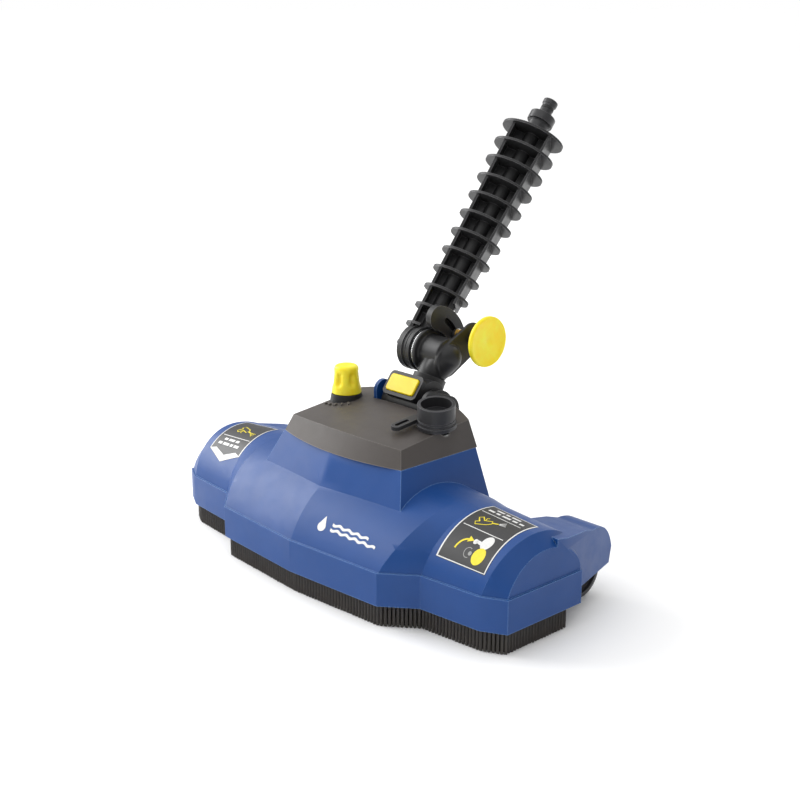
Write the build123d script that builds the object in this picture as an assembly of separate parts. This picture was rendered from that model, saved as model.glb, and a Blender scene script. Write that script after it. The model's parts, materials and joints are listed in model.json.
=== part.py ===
from build123d import *
import os
from math import asin, atan2, cos, degrees, hypot, radians, sin, sqrt

# Patio and deck cleaning head for a pressure washer.  Millimetres.
# Deck frame: x to the right, y to the back, z up, floor at z = 0, symmetry plane x = 0.
# Every piece is moved back by -Y_MIDDLE when it is written, so that the origin of the
# written parts lies under the middle of the bounding box.
Y_MIDDLE = -38.54
FIT_GAP = 0.05

# deck: plan outline of the lower band, right half, front to back
CREASE_FRONT_Y = -206.5
SHOULDER_X = 97.7
SHOULDER_FRONT_Y = -199.9
WING_X = 123.5
WING_FRONT_Y = -178.6
CHAMFER_X = 180.5
CHAMFER_FRONT_Y = -173.1
HALF_WIDTH = 200.0
END_FRONT_Y = -162.9
END_REAR_Y = -80.0
BAND_REAR_Y = -48.0
BAND_BOTTOM_Z = 18.6
LEDGE_Z = 46.0
LEDGE_STEP = 1.6
ARCH_Y = -122.0
UNDER_ARCH_REAR_Y = -72.0
WALL = 2.6

# tower that carries the cover; the spreads are outward millimetres per millimetre of drop
TOWER_FRONT_SPREAD, TOWER_SIDE_SPREAD, TOWER_REAR_SPREAD = 0.42, 0.27, 0.13
COVER_FOOT_Z = 110.5
COVER_SLOPE = 0.121
COVER_FRONT_Z = 128.8
COVER_FRONT_Y = -145.6
CROWN_RADIUS = 563.0
COVER_LEAN = degrees(atan2(COVER_SLOPE, 1))
COVER_WALL = 2.5

# tilting rocker
TILT_Y, TILT_Z = -64.5, 130.5
DRUM_R = 18.5
DRUM_HALF = 25.5
CHEEK_IN, CHEEK_OUT = 28.0, 31.5
YOKE_FOOT_Z = 104.0
TRUNNION_R = 4.0
SLOT_HALF = 32.5
SLOT_FRONT_Y = -86.5
BUTTON_Y, BUTTON_Z = -81.2, 152.0
BUTTON_LEAN = 53.0
BUTTON_W, BUTTON_H, BUTTON_DEEP = 33.4, 15.4, 7.0
BUTTON_PROUD = 1.6
BUTTON_TRAVEL = 3.0

# elbow and hub of the arm
PIPE_X = 3.0
PIPE_R, PIPE_BORE_R = 12.0, 5.5
HUB_Y, HUB_Z = -42.0, 173.5
KNUCKLE_R = 14.5
FLANGE_R = 19.0
AXLE_R = 7.0
PIN_Y, PIN_Z = -15.0, 184.5
PIN_R = 3.0
EAR_X0, EAR_X1 = 14.0, 17.4
EAR_R = 13.5

# ribbed arm
ARM_X = -23.0
TIP_Y, TIP_Z = 124.1, 374.6
ARM_ROLL = 32.0
FIN_COUNT = 13
FIN_FIRST, FIN_PITCH = 37.3, 18.85
FIN_A0, FIN_TAPER = 29.8, 0.91
FIN_ASPECT = 0.74
FIN_T = 2.2
RIB_T = 2.4
TUBE_R = 7.0
SECTOR_IN = 20.8
SECTOR_SWING = 35.0

# caps on the cover
CAP_X, CAP_Y = 56.7, -96.6
KNOB_X = -55.0
KNOB_Z = 130.4
CAP_R = 15.5
KNOB_R0, KNOB_R1, KNOB_TALL = 13.0, 10.6, 24.5
COLLAR_R, COLLAR_TALL = 15.0, 6.5
DOSE_MARKS, DOSE_FIRST_ANGLE = 5, 256

# wheels and brushes
WHEEL_Y, WHEEL_R = -41.5, 22.0
WHEEL_X0, WHEEL_X1 = 151.5, 168.5
WHEEL_BORE_R = 4.0
BRISTLE_INSET, BRISTLE_T = 3.5, 7.0
BRISTLE_TOP_Z = 25.0
SPRAY_Y, SPRAY_Z = -122.0, 41.0
NOZZLE_XS = [-140.0, -70.0, 0.0, 70.0, 140.0]

os.makedirs("parts", exist_ok=True)


def write(name, shape):
    """Write one node, moved so that the origin is under the middle of the box."""
    moved = Pos(0, -Y_MIDDLE, 0) * shape
    export_step(moved, f"parts/{name}.step")


def group(solids):
    """Separate solids that share one node."""
    return Compound(children=[s for item in solids for s in item.solids()])


def side_plane(x):
    """Plane across the part at x, with its local x along y and local y along z."""
    return Plane(origin=(x, 0, 0), x_dir=(0, 1, 0), z_dir=(1, 0, 0))


def rod(start, end, radius):
    """Round bar between two points."""
    a, b = Vector(*start), Vector(*end)
    along = b - a
    return extrude(Plane(origin=a, z_dir=along) * Circle(radius), along.length)


def ring(start, end, outer, inner):
    """Round sleeve between two points."""
    a, b = Vector(*start), Vector(*end)
    step = (b - a).normalized()
    return rod(start, end, outer) - rod(tuple(a - step), tuple(b + step), inner)


def block(x0, x1, y0, y1, z0, z1):
    """Box from its two corners."""
    return Pos((x0 + x1) / 2, (y0 + y1) / 2, (z0 + z1) / 2) * Box(x1 - x0, y1 - y0, z1 - z0)


def both_sides(shape):
    return [shape, shape.mirror(Plane.YZ)]


def prism(points, z0, z1):
    """Upright prism on a closed plan outline."""
    face = make_face(Polyline(*points, close=True))
    return extrude(Pos(0, 0, z0) * face, z1 - z0)


def mirrored_outline(right):
    """Closed plan outline from its right half, which runs from front to back."""
    left = [(-x, y) for x, y in reversed(right) if x > 0]
    return right + left


# ---------------------------------------------------------------- deck shell
BAND = mirrored_outline([
    (0, CREASE_FRONT_Y), (SHOULDER_X, SHOULDER_FRONT_Y), (WING_X, WING_FRONT_Y),
    (CHAMFER_X, CHAMFER_FRONT_Y), (HALF_WIDTH, END_FRONT_Y), (HALF_WIDTH, END_REAR_Y),
    (146.0, END_REAR_Y), (146.0, BAND_REAR_Y)])

# arched sections: x and y of the front foot, depth of the front arc's centre below the foot,
# y of the rear foot, and outward lean in degrees
SECTIONS = [
    (0.0, CREASE_FRONT_Y + LEDGE_STEP, 36.1, -60.0, 0.0),
    (SHOULDER_X, SHOULDER_FRONT_Y + LEDGE_STEP, 38.5, -62.0, 19.0),
    (WING_X, WING_FRONT_Y + LEDGE_STEP, 13.5, -68.0, 8.0),
    (CHAMFER_X, CHAMFER_FRONT_Y + LEDGE_STEP, 12.0, -70.0, 11.0),
    (HALF_WIDTH - LEDGE_STEP, END_FRONT_Y + 1.0, 15.0, END_REAR_Y, 0.0)]


def arch(section, inset):
    """Arched face across the deck: a round front and a quarter ellipse behind the top."""
    x, front, depth, rear, lean = section
    radius = hypot(front - ARCH_Y, depth) - inset
    foot_angle = degrees(asin(depth / radius))
    front_arc = CenterArc((ARCH_Y, -depth), radius, 90, 90 - foot_angle)
    rear_arc = EllipticalCenterArc((ARCH_Y, 0), rear - ARCH_Y - inset, radius - depth, 0, arc_size=90)
    base = Line(front_arc @ 1, rear_arc @ 0)
    outward = (cos(radians(lean)), 0, -sin(radians(lean)))
    plane = Plane(origin=(x, 0, LEDGE_Z), x_dir=(0, 1, 0), z_dir=outward)
    return plane * make_face([front_arc, rear_arc, base])


def arched_body(inset):
    """Both halves of the arched upper deck, each a chain of ruled stretches."""
    sections = list(SECTIONS)
    sections[-1] = (sections[-1][0] - inset, *sections[-1][1:])
    faces = [arch(s, inset) for s in sections]
    half = loft([faces[0], faces[1]], ruled=True)
    for a, b in zip(faces[1:], faces[2:]):
        half += loft([a, b], ruled=True)
    return half + half.mirror(Plane.YZ)


def tower(inset, foot_z, top_z):
    """Tapered tower with a creased front, between its foot and the cover."""
    def outline(z):
        drop = COVER_FOOT_Z - z
        front = TOWER_FRONT_SPREAD * drop - inset
        side = TOWER_SIDE_SPREAD * drop - inset
        rear = TOWER_REAR_SPREAD * drop - inset
        right = [(0, -162.5 - front), (73.2 + front, -151.3 - front),
                 (72.0 + side, -66.0 + rear), (0, BAND_REAR_Y - inset)]
        return Pos(0, 0, z) * make_face(Polyline(*mirrored_outline(right), close=True))
    return loft([outline(foot_z), outline(top_z)], ruled=True)


def housing_plan(inset, x_in, z0, z1):
    """Wheel housing in plan: flush with the deck's end, tapering inwards to the rear."""
    out = [(x_in + inset, -108), (HALF_WIDTH - LEDGE_STEP - inset, -108),
           (HALF_WIDTH - LEDGE_STEP - inset, -96), (174 - inset, -12 - inset),
           (x_in + inset, -12 - inset)]
    return prism(out, z0, z1)


def housing_side(inset, x0, x1, z0):
    """Wheel housing from the side: sloping top, round back."""
    i = inset
    line = Polyline((-49 - i * 0.6, 66 - i), (-63, 70.6 - i), (-108, 78.5 - i), (-108, z0), (-16 - i, z0))
    back = Line((-16 - i, z0), (-12 - i, 39))
    curve = ThreePointArc((-12 - i, 39), (-23.0 - i * 0.8, 56.8 - i * 0.8), (-49 - i * 0.6, 66 - i))
    return extrude(side_plane(x0) * make_face(line.edges() + [back, curve]), x1 - x0)


def wheel_housing(inset, x_in, z0):
    """Right wheel housing, as a solid, drawn in by the wall thickness where asked."""
    return housing_plan(inset, x_in, 0, 90) & housing_side(inset, 140, 200, z0)


def deck_shell():
    """Blue moulded shell: band, arched body, tower and wheel housings, open below."""
    band = make_face(Polyline(*BAND, close=True))
    outer = extrude(Pos(0, 0, BAND_BOTTOM_Z) * band, LEDGE_Z - BAND_BOTTOM_Z)
    outer += arched_body(0) + tower(0, LEDGE_Z - 1, COVER_FOOT_Z)
    for housing in both_sides(wheel_housing(0, 147.5, 26.0)):
        outer += housing
    band_hollow = offset(band, -WALL)
    hollow = extrude(Pos(0, 0, BAND_BOTTOM_Z - 1) * band_hollow, LEDGE_Z - WALL - BAND_BOTTOM_Z + 1)
    under_arch = extrude(Pos(0, 0, BAND_BOTTOM_Z) * band_hollow, LEDGE_Z - BAND_BOTTOM_Z + 0.2)
    hollow += under_arch & block(-HALF_WIDTH, HALF_WIDTH, -220, UNDER_ARCH_REAR_Y, 0, LEDGE_Z + 5)
    hollow += arched_body(WALL) + tower(WALL, LEDGE_Z - 4, COVER_FOOT_Z + 1)
    for well in both_sides(wheel_housing(WALL, 147.5, 20.0)):
        hollow += well
    notch = block(-SLOT_HALF, SLOT_HALF, -62, -20, YOKE_FOOT_Z, 130)
    shell = outer - hollow - notch
    return shell - rod((-151.5, WHEEL_Y, WHEEL_R), (151.5, WHEEL_Y, WHEEL_R), 8.3)


# ---------------------------------------------------------------- top cover
def cover_block(inset):
    """Tapered block of the cover with its crowned, sloping top."""
    def outline(z, front_x, front_y, mid_y, rear_x, rear_y, back_y):
        i = inset
        front = ThreePointArc((-front_x + i, front_y + i), (0, mid_y + i), (front_x - i, front_y + i))
        right = Line((front_x - i, front_y + i), (rear_x - i, rear_y - i))
        rear = ThreePointArc((rear_x - i, rear_y - i), (0, back_y - i), (-rear_x + i, rear_y - i))
        left = Line((-rear_x + i, rear_y - i), (-front_x + i, front_y + i))
        return Pos(0, 0, z) * make_face([front, right, rear, left])
    foot = outline(COVER_FOOT_Z, 72.8, -151.0, -163.0, 72.0, -64.5, -46.5)
    head = outline(144.0, 59.6, -139.0, -145.5, 64.4, -71.6, -55.2)
    body = loft([foot, head], ruled=True)
    axis_z = COVER_FRONT_Z - CROWN_RADIUS / cos(radians(COVER_LEAN))
    barrel = Rotation(-90 + COVER_LEAN, 0, 0) * Cylinder(CROWN_RADIUS - inset, 600)
    return body & (Pos(0, COVER_FRONT_Y, axis_z) * barrel)


def cover_top_z(x, y):
    """Height of the cover's outer surface."""
    return COVER_FRONT_Z + COVER_SLOPE * (y - COVER_FRONT_Y) - x * x / (2 * CROWN_RADIUS)


def on_cover(x, y, lift=0.0):
    """Placement on the cover's surface, its z along the sloping surface's normal."""
    roll = degrees(asin(x / CROWN_RADIUS))
    return Pos(x, y, cover_top_z(x, y)) * Rotation(COVER_LEAN, roll, 0) * Pos(0, 0, lift)


def over_knob(lift=0.0):
    """Upright placement at the dosing knob."""
    return Pos(KNOB_X, CAP_Y, KNOB_Z + lift)


def dose_marks():
    """Raised marks round the dosing knob, growing with the dose."""
    marks = []
    for i in range(DOSE_MARKS):
        angle = DOSE_FIRST_ANGLE + i * 17
        size = 1.6 + i * 0.6
        x = KNOB_X + (COLLAR_R + 5.0) * cos(radians(angle))
        y = CAP_Y + (COLLAR_R + 5.0) * sin(radians(angle))
        marks.append(on_cover(x, y, 0.2) * Rotation(0, 0, angle) * Box(size + 1.0, 1.7, 2.4))
    return marks


def top_cover():
    """Dark cover with a slot for the rocker, a hole for the valve stem and a filler hole."""
    body = cover_block(0) - (Pos(0, 0, -COVER_WALL) * cover_block(COVER_WALL))
    body -= block(-SLOT_HALF, SLOT_HALF, SLOT_FRONT_Y, -30, 100, 160)
    body -= on_cover(CAP_X, CAP_Y) * Cylinder(11.8, 30)
    body -= over_knob() * Cylinder(4.6, 30)
    for mark in dose_marks():
        body += mark
    return body


# ---------------------------------------------------------------- yoke and rocker
def cheek(x0, x1):
    """One cheek of the yoke: a tab that rises through the slot, with the trunnion's seat."""
    nose = Pos(-77.0, 141.5) * Circle(9.0)
    tail = Pos(-59.0, 130.5) * Circle(13.0)
    foot = Pos(-64.5, 112.0) * Rectangle(40, 12)
    outline = make_hull((nose + tail + foot).edges())
    plate = extrude(side_plane(x0) * outline, x1 - x0)
    return plate - rod((x0 - 1, TILT_Y, TILT_Z), (x1 + 1, TILT_Y, TILT_Z), TRUNNION_R)


def yoke():
    """Blue U-shaped bracket that holds the rocker between its cheeks."""
    bridge = block(-CHEEK_OUT, CHEEK_OUT, -84.5, -50.0, YOKE_FOOT_Z, YOKE_FOOT_Z + 3.4)
    bridge -= block(-14, 14, -80.5, -54.0, 100, 110)
    cheeks = cheek(CHEEK_IN, CHEEK_OUT) + cheek(-CHEEK_OUT, -CHEEK_IN)
    return bridge + cheeks


BUTTON_NORMAL = (0, -sin(radians(BUTTON_LEAN)), cos(radians(BUTTON_LEAN)))
BUTTON_PLANE = Plane(origin=(0, BUTTON_Y, BUTTON_Z), x_dir=(1, 0, 0), z_dir=BUTTON_NORMAL)
PIPE_LENGTH = hypot(HUB_Y - TILT_Y, HUB_Z - TILT_Z)
PIPE_UP = (0, (HUB_Y - TILT_Y) / PIPE_LENGTH, (HUB_Z - TILT_Z) / PIPE_LENGTH)


def along_pipe(distance):
    return (PIPE_X, TILT_Y + PIPE_UP[1] * distance, TILT_Z + PIPE_UP[2] * distance)


def rocker_housing():
    """Black rocker: drum on the trunnions, raised button block and pipe socket."""
    drum = rod((-DRUM_HALF, TILT_Y, TILT_Z), (DRUM_HALF, TILT_Y, TILT_Z), DRUM_R)
    head = RectangleRounded(BUTTON_W + 6.4, BUTTON_H + 6.4, 4.5)
    raised = extrude(BUTTON_PLANE * head, -26)
    raised &= block(-40, 40, -100, -56, 118, 180)
    saddle = rod((-17, -66, 143), (20, -66, 143), 13.0)
    socket = rod(along_pipe(4), along_pipe(27), PIPE_R + 2.4)
    body = drum + raised + saddle + socket
    mouth = BUTTON_PLANE * RectangleRounded(BUTTON_W + 0.8, BUTTON_H + 0.8, 3.0)
    well = extrude(mouth, -11.5) + extrude(mouth, 4)
    body -= well
    body -= rod(along_pipe(8), along_pipe(30), PIPE_R)
    body -= rod(along_pipe(-22), along_pipe(10), PIPE_BORE_R)
    for side in (-1, 1):
        body -= rod((side * 18, TILT_Y, TILT_Z), (side * 30, TILT_Y, TILT_Z), TRUNNION_R + FIT_GAP)
    return body


def release_button():
    """Yellow push button with a slightly pillowed face and a spring post."""
    pad = RectangleRounded(BUTTON_W, BUTTON_H, 2.8)
    body = extrude(BUTTON_PLANE * pad, BUTTON_PROUD) + extrude(BUTTON_PLANE * pad, -BUTTON_DEEP + BUTTON_PROUD)
    face_edges = body.faces().sort_by(Axis(origin=(0, 0, 0), direction=BUTTON_NORMAL))[-1].edges()
    return fillet(face_edges, 1.0)


def coil(start, end, mean_radius, wire_radius, turns):
    """Compression spring along the line from start to end."""
    a, b = Vector(*start), Vector(*end)
    length = (b - a).length
    path = Helix(length / turns, length, mean_radius)
    section = Plane(origin=path @ 0, z_dir=path % 0) * Circle(wire_radius)
    wire = sweep(section, path=path)
    place = Plane(origin=a, z_dir=b - a)
    return place.location * wire


def release_spring():
    inner = BUTTON_PLANE.from_local_coords(Vector(0, 0, -11.3))
    outer = BUTTON_PLANE.from_local_coords(Vector(0, 0, -BUTTON_DEEP + BUTTON_PROUD - 0.2))
    return ring(tuple(inner), tuple(outer), 4.0, 2.9)


# ---------------------------------------------------------------- elbow, hub and index pin
def ear():
    """Flat ear beside the knuckle that guides the index pin."""
    eye = Pos(PIN_Y, PIN_Z) * Circle(EAR_R)
    root = Pos(HUB_Y - 2, HUB_Z - 4.5) * Circle(14.0)
    heel = Pos(-48.7, 160.8) * Circle(6.2)
    plate = extrude(side_plane(EAR_X0) * make_hull((eye + root + heel).edges()), EAR_X1 - EAR_X0)
    return plate - rod((EAR_X0 - 1, PIN_Y, PIN_Z), (EAR_X1 + 1, PIN_Y, PIN_Z), PIN_R + FIT_GAP)


def heel():
    """Thick web that blends the ear into the right side of the pipe, above the socket."""
    def section(distance, reach):
        x, y, z = along_pipe(distance)
        across = Plane(origin=(x, y, z), x_dir=(1, 0, 0), z_dir=PIPE_UP)
        middle, half = (reach - PIPE_X) / 2, (reach - PIPE_X) / 2
        return across * Pos(middle, 0) * RectangleRounded(2 * half, 17.0, 3.0)
    return loft([section(27.6, EAR_X0 + 0.6), section(PIPE_LENGTH - 3, EAR_X1)], ruled=True)


def elbow():
    """Black elbow: pipe, knuckle, flange and ear, with the water way inside."""
    pipe = rod(along_pipe(8.2), along_pipe(PIPE_LENGTH), PIPE_R)
    knuckle = rod((-8, HUB_Y, HUB_Z), (EAR_X0 + 1, HUB_Y, HUB_Z), KNUCKLE_R)
    flange = rod((-11, HUB_Y, HUB_Z), (-7.5, HUB_Y, HUB_Z), FLANGE_R)
    body = pipe + knuckle + flange + ear() + heel()
    body -= rod(along_pipe(0), along_pipe(PIPE_LENGTH), PIPE_BORE_R)
    body -= rod((-14, HUB_Y, HUB_Z), (10, HUB_Y, HUB_Z), AXLE_R + FIT_GAP)
    return body


def index_pin():
    """Steel index pin: slim tip in the sector's slot, collar, and shank through the ear."""
    tip = rod((-8.4, PIN_Y, PIN_Z), (-3.0, PIN_Y, PIN_Z), 2.3)
    collar = rod((-3.0, PIN_Y, PIN_Z), (-0.8, PIN_Y, PIN_Z), 5.4)
    shank = rod((-0.8, PIN_Y, PIN_Z), (30.0, PIN_Y, PIN_Z), PIN_R)
    return tip + collar + shank


def index_spring():
    return coil((-0.2, PIN_Y, PIN_Z), (EAR_X0 - 0.7, PIN_Y, PIN_Z), 4.4, 0.55, 6)


def pull_knob():
    """Large yellow pull disc, dished, on a short boss."""
    boss = rod((21.5, PIN_Y, PIN_Z), (33.0, PIN_Y, PIN_Z), 7.0)
    disc = rod((32.0, PIN_Y, PIN_Z), (36.6, PIN_Y, PIN_Z), 22.0)
    disc = fillet(disc.edges(), 1.7)
    dish = Pos(36.6 + 128.0, PIN_Y, PIN_Z) * Sphere(129.2)
    return disc + boss - dish - rod((20, PIN_Y, PIN_Z), (30.0, PIN_Y, PIN_Z), PIN_R)


def hub_ring():
    """Bright retaining ring between the two flanges."""
    return ring((-14.4, HUB_Y, HUB_Z), (-11.3, HUB_Y, HUB_Z), 17.6, 9.4)


def hub_axle():
    """Hollow steel axle, fixed in the arm and turning in the elbow."""
    return ring((-27.0, HUB_Y, HUB_Z), (9.5, HUB_Y, HUB_Z), AXLE_R, 4.0)


def hub_seal():
    return ring((-11.25, HUB_Y, HUB_Z), (-14.35, HUB_Y, HUB_Z), 9.2, AXLE_R + 0.1)


# ---------------------------------------------------------------- ribbed arm
HUB_TO_TIP = hypot(TIP_Y - HUB_Y, TIP_Z - HUB_Z)
ARM_N = (0, (TIP_Y - HUB_Y) / HUB_TO_TIP, (TIP_Z - HUB_Z) / HUB_TO_TIP)
ARM_W = (0, ARM_N[2], -ARM_N[1])
ROLL_C, ROLL_S = cos(radians(ARM_ROLL)), sin(radians(ARM_ROLL))
ARM_D = (ROLL_C, ROLL_S * ARM_W[1], ROLL_S * ARM_W[2])


def arm_plane(from_tip):
    """Plane across the arm, at a distance below its tip, rolled like the fins."""
    r = HUB_TO_TIP - from_tip
    return Plane(origin=(ARM_X, HUB_Y + ARM_N[1] * r, HUB_Z + ARM_N[2] * r), x_dir=ARM_D, z_dir=ARM_N)


def arm_point(from_tip):
    return tuple(arm_plane(from_tip).origin)


def fin(index):
    """One oval fin; the last two are only lobes outside the left rib."""
    a = FIN_A0 - FIN_TAPER * index
    plane = arm_plane(FIN_FIRST + FIN_PITCH * index)
    face = Ellipse(a, a * FIN_ASPECT)
    if index > 10:
        face &= Pos(-a, 0) * Rectangle(2 * a - 9, 3 * a)
    elif index > 9:
        face &= Pos(-a, 0) * Rectangle(2 * a + 26, 3 * a)
    return extrude(plane * face, FIN_T / 2, both=True)


def rib(side, bottom):
    """Long flat rib beside the arm's tube, tapering with the fins."""
    def section(from_tip):
        a = 17.4 - 4.4 * (from_tip - FIN_FIRST) / (9 * FIN_PITCH)
        deep = 15.0 - 3.0 * (from_tip - FIN_FIRST) / (9 * FIN_PITCH)
        return arm_plane(from_tip) * Pos(side * a, 0) * Rectangle(RIB_T, 2 * deep)
    return loft([section(FIN_FIRST), section(bottom)], ruled=True)


def web():
    """Middle web between the two ribs."""
    def section(from_tip):
        a = 17.4 - 4.4 * (from_tip - FIN_FIRST) / (9 * FIN_PITCH)
        return arm_plane(from_tip) * Rectangle(2 * a, 2.6)
    return loft([section(FIN_FIRST), section(HUB_TO_TIP - 30)], ruled=True)


def sector():
    """Index plate of the arm, with the curved slot for the pin's tip."""
    radius = hypot(PIN_Y - HUB_Y, PIN_Z - HUB_Z)
    start = degrees(atan2(PIN_Z - HUB_Z, PIN_Y - HUB_Y))
    centre = Pos(HUB_Y, HUB_Z)

    def spot(angle):
        return Pos(HUB_Y + radius * cos(radians(angle)), HUB_Z + radius * sin(radians(angle)))
    arc = centre * CenterArc((0, 0), radius, start, SECTOR_SWING + 18)
    end = spot(start + SECTOR_SWING + 18)
    band = trace(arc, 2 * 11.0) + spot(start) * Circle(11.0) + end * Circle(11.0)
    slot_arc = centre * CenterArc((0, 0), radius, start, SECTOR_SWING)
    slot = trace(slot_arc, 5.4) + spot(start) * Circle(2.7) + spot(start + SECTOR_SWING) * Circle(2.7)
    outer_plate = extrude(side_plane(-9.4) * (band - centre * Circle(SECTOR_IN)), 5.8)
    inner_plate = extrude(side_plane(-7.1) * (band - centre * Circle(KNUCKLE_R + 0.5)), 3.5)
    return outer_plate + inner_plate - extrude(side_plane(-8.7) * slot, 6)


def arm():
    """Ribbed black arm: tube, ribs, fins, hub cheek and index sector."""
    tube = rod(arm_point(36.8), arm_point(HUB_TO_TIP - 16), TUBE_R)
    body = tube + rib(-1, HUB_TO_TIP - 8) + rib(1, HUB_TO_TIP - 46) + web()
    for index in range(FIN_COUNT):
        body += fin(index)
    low = Plane(origin=arm_point(HUB_TO_TIP - 16), x_dir=(1, 0, 0), z_dir=ARM_N)
    neck_foot = low * Pos(4.5, 0) * Rectangle(19.0, 27.0)
    neck_head = arm_plane(HUB_TO_TIP - 44) * Rectangle(26.0, 19.0)
    body += loft([neck_foot, neck_head], ruled=True)
    body += rod((-29.0, HUB_Y, HUB_Z), (-23.4, HUB_Y, HUB_Z), 19.6)
    body += rod((-23.6, HUB_Y, HUB_Z), (-20.2, HUB_Y, HUB_Z), 18.4)
    body += rod((-20.4, HUB_Y, HUB_Z), (-18.0, HUB_Y, HUB_Z), 16.5)
    body += rod((-18.2, HUB_Y, HUB_Z), (-14.8, HUB_Y, HUB_Z), 19.4)
    body -= rod((-14.7, HUB_Y, HUB_Z), (0, HUB_Y, HUB_Z), SECTOR_IN - 0.3)
    body += sector()
    body -= rod((-27.0, HUB_Y, HUB_Z), (-14, HUB_Y, HUB_Z), AXLE_R)
    body -= rod(arm_point(30), arm_point(HUB_TO_TIP - 10), 3.4)
    return body


def bayonet_inlet():
    """Quick-fit inlet: nose with a tip bead, collar and neck, on the arm's axis."""
    body = rod(arm_point(36.2), arm_point(23), 9.6)
    body += rod(arm_point(24), arm_point(16), 12.2)
    body += rod(arm_point(16.5), arm_point(4), 5.9)
    body += rod(arm_point(4.2), arm_point(0), 6.9)
    body = body - rod(arm_point(9.2), arm_point(6.6), 7.5) + rod(arm_point(9.4), arm_point(6.4), 4.9)
    return body - rod(arm_point(40), arm_point(-1), 3.0)


def inlet_seal():
    return ring(arm_point(9.1), arm_point(6.7), 6.0, 4.95)


# ---------------------------------------------------------------- knob, cap and tank
def knob_collar():
    """Black collar under the dosing knob."""
    body = over_knob(COLLAR_TALL / 2 - 1.5) * Cone(COLLAR_R, COLLAR_R - 1.8, COLLAR_TALL + 3)
    body -= cover_block(0)
    return body - over_knob() * Cylinder(3.05, 40)


def regulator_knob():
    """Yellow dosing knob, tapered, with finger dimples."""
    base = over_knob(COLLAR_TALL + 0.4)
    body = Pos(0, 0, KNOB_TALL / 2) * Cone(KNOB_R0, KNOB_R1, KNOB_TALL)
    body = fillet(body.edges().sort_by(Axis.Z)[-1], 3.2)
    for i in range(6):
        body -= Rotation(0, 0, 60 * i + 15) * Pos(14.6, 0, 13.5) * Rotation(0, -6, 0) * Cylinder(4.4, 13)
    return base * (body - Pos(0, 0, 6) * Cylinder(3.0, 12))


def regulator_stem():
    """Brass valve stem, fixed in the knob and turning in the collar."""
    base = over_knob(COLLAR_TALL + 0.4)
    shank = Pos(0, 0, -9.0) * Cylinder(3.0, 42)
    needle = Pos(0, 0, -33) * Cone(1.0, 3.0, 6)
    return base * (shank + needle)


def filler_cap():
    """Black cap with a recessed top, a groove, a lower flange and a pull tab."""
    cup = Pos(0, 0, 10.4) * Cylinder(CAP_R, 19.0)
    cup -= Pos(0, 0, 17.0) * Cylinder(CAP_R - 2.6, 12)
    cup -= Pos(0, 0, 7.2) * (Cylinder(CAP_R + 1, 0.9) - Cylinder(CAP_R - 0.7, 0.9))
    flange = Pos(0, 0, 2.2) * Cylinder(CAP_R + 1.2, 3.2)
    plug = Pos(0, 0, -4.4) * Cylinder(9.4, 12)
    tab = Pos(-CAP_R + 0.6, -CAP_R - 4.5, 3.0) * extrude(SlotOverall(30.0, 8.6, rotation=90), 3.6)
    slot = Pos(-CAP_R + 0.6, -CAP_R - 9.0, 0) * extrude(SlotOverall(15.0, 3.6, rotation=90), 9)
    body = cup + flange + plug + tab
    body -= slot
    return on_cover(CAP_X, CAP_Y, 0.1) * body


def cap_seal():
    """Rubber ring on the cap's plug."""
    return on_cover(CAP_X, CAP_Y, 0.1) * Pos(0, 0, -6.2) * (Cylinder(10.2, 2.4) - Cylinder(9.4, 2.4))


TANK = (-64.0, 64.0, -146.0, -90.0, 66.0, 104.0)


def detergent_tank():
    """Hollow detergent tank under the cover, with a filler opening and a valve seat."""
    x0, x1, y0, y1, z0, z1 = TANK
    t = 2.0
    body = block(x0, x1, y0, y1, z0, z1)
    body = fillet(body.edges().filter_by(Axis.Z), 6)
    body -= block(x0 + t, x1 - t, y0 + t, y1 - t, z0 + t, z1 - t)
    body -= on_cover(CAP_X - 1, CAP_Y) * Pos(0, 0, -30) * Cylinder(9.0, 20)
    body -= over_knob(-26) * Cylinder(4.0, 18)
    return body & (tower(WALL + 0.6, 60.0, COVER_FOOT_Z) + block(-66, 66, -150, -88, 60, 90))


def filler_neck():
    """Neck between the filler hole and the tank."""
    body = Pos(0, 0, -15.4) * (Cylinder(11.6, 22) - Cylinder(10.3, 24))
    return on_cover(CAP_X, CAP_Y) * body


# ---------------------------------------------------------------- under the deck
def spray_bar():
    """Cross tube that feeds the nozzles, with closed ends and a feed stub."""
    bar = rod((-168, SPRAY_Y, SPRAY_Z), (168, SPRAY_Y, SPRAY_Z), 7.0)
    bar -= rod((-165, SPRAY_Y, SPRAY_Z), (165, SPRAY_Y, SPRAY_Z), 4.6)
    bar += ring((0, SPRAY_Y, SPRAY_Z + 6.0), (0, SPRAY_Y, SPRAY_Z + 13), 6.0, 4.0)
    for x in NOZZLE_XS:
        bar -= rod((x, SPRAY_Y, SPRAY_Z - 3.5), (x, SPRAY_Y, SPRAY_Z - 8), 3.0)
    return bar


def spray_nozzles():
    """Brass fan nozzles, a group of separate solids."""
    nozzles = []
    for x in NOZZLE_XS:
        stem = rod((x, SPRAY_Y, SPRAY_Z - 4.4), (x, SPRAY_Y, 26.0), 3.0)
        head = extrude(Pos(x, SPRAY_Y, 22.0) * RegularPolygon(5.4, 6), 5.0)
        slit = block(x - 6, x + 6, SPRAY_Y - 0.6, SPRAY_Y + 0.6, 21.5, 23.6)
        nozzles.append(stem + head - slit)
    return group(nozzles)


def feed_hose():
    """Short hose from the spray bar up to the rocker."""
    path = FilletPolyline((0, SPRAY_Y, 54.2), (0, SPRAY_Y, 60.4), (0, -72, 60.4), (0, -66, 109), radius=[6, 18])
    section = Plane(origin=path @ 0, z_dir=path % 0)
    return sweep(section * Circle(5.2), path=path) - sweep(section * Circle(3.4), path=path)


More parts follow.
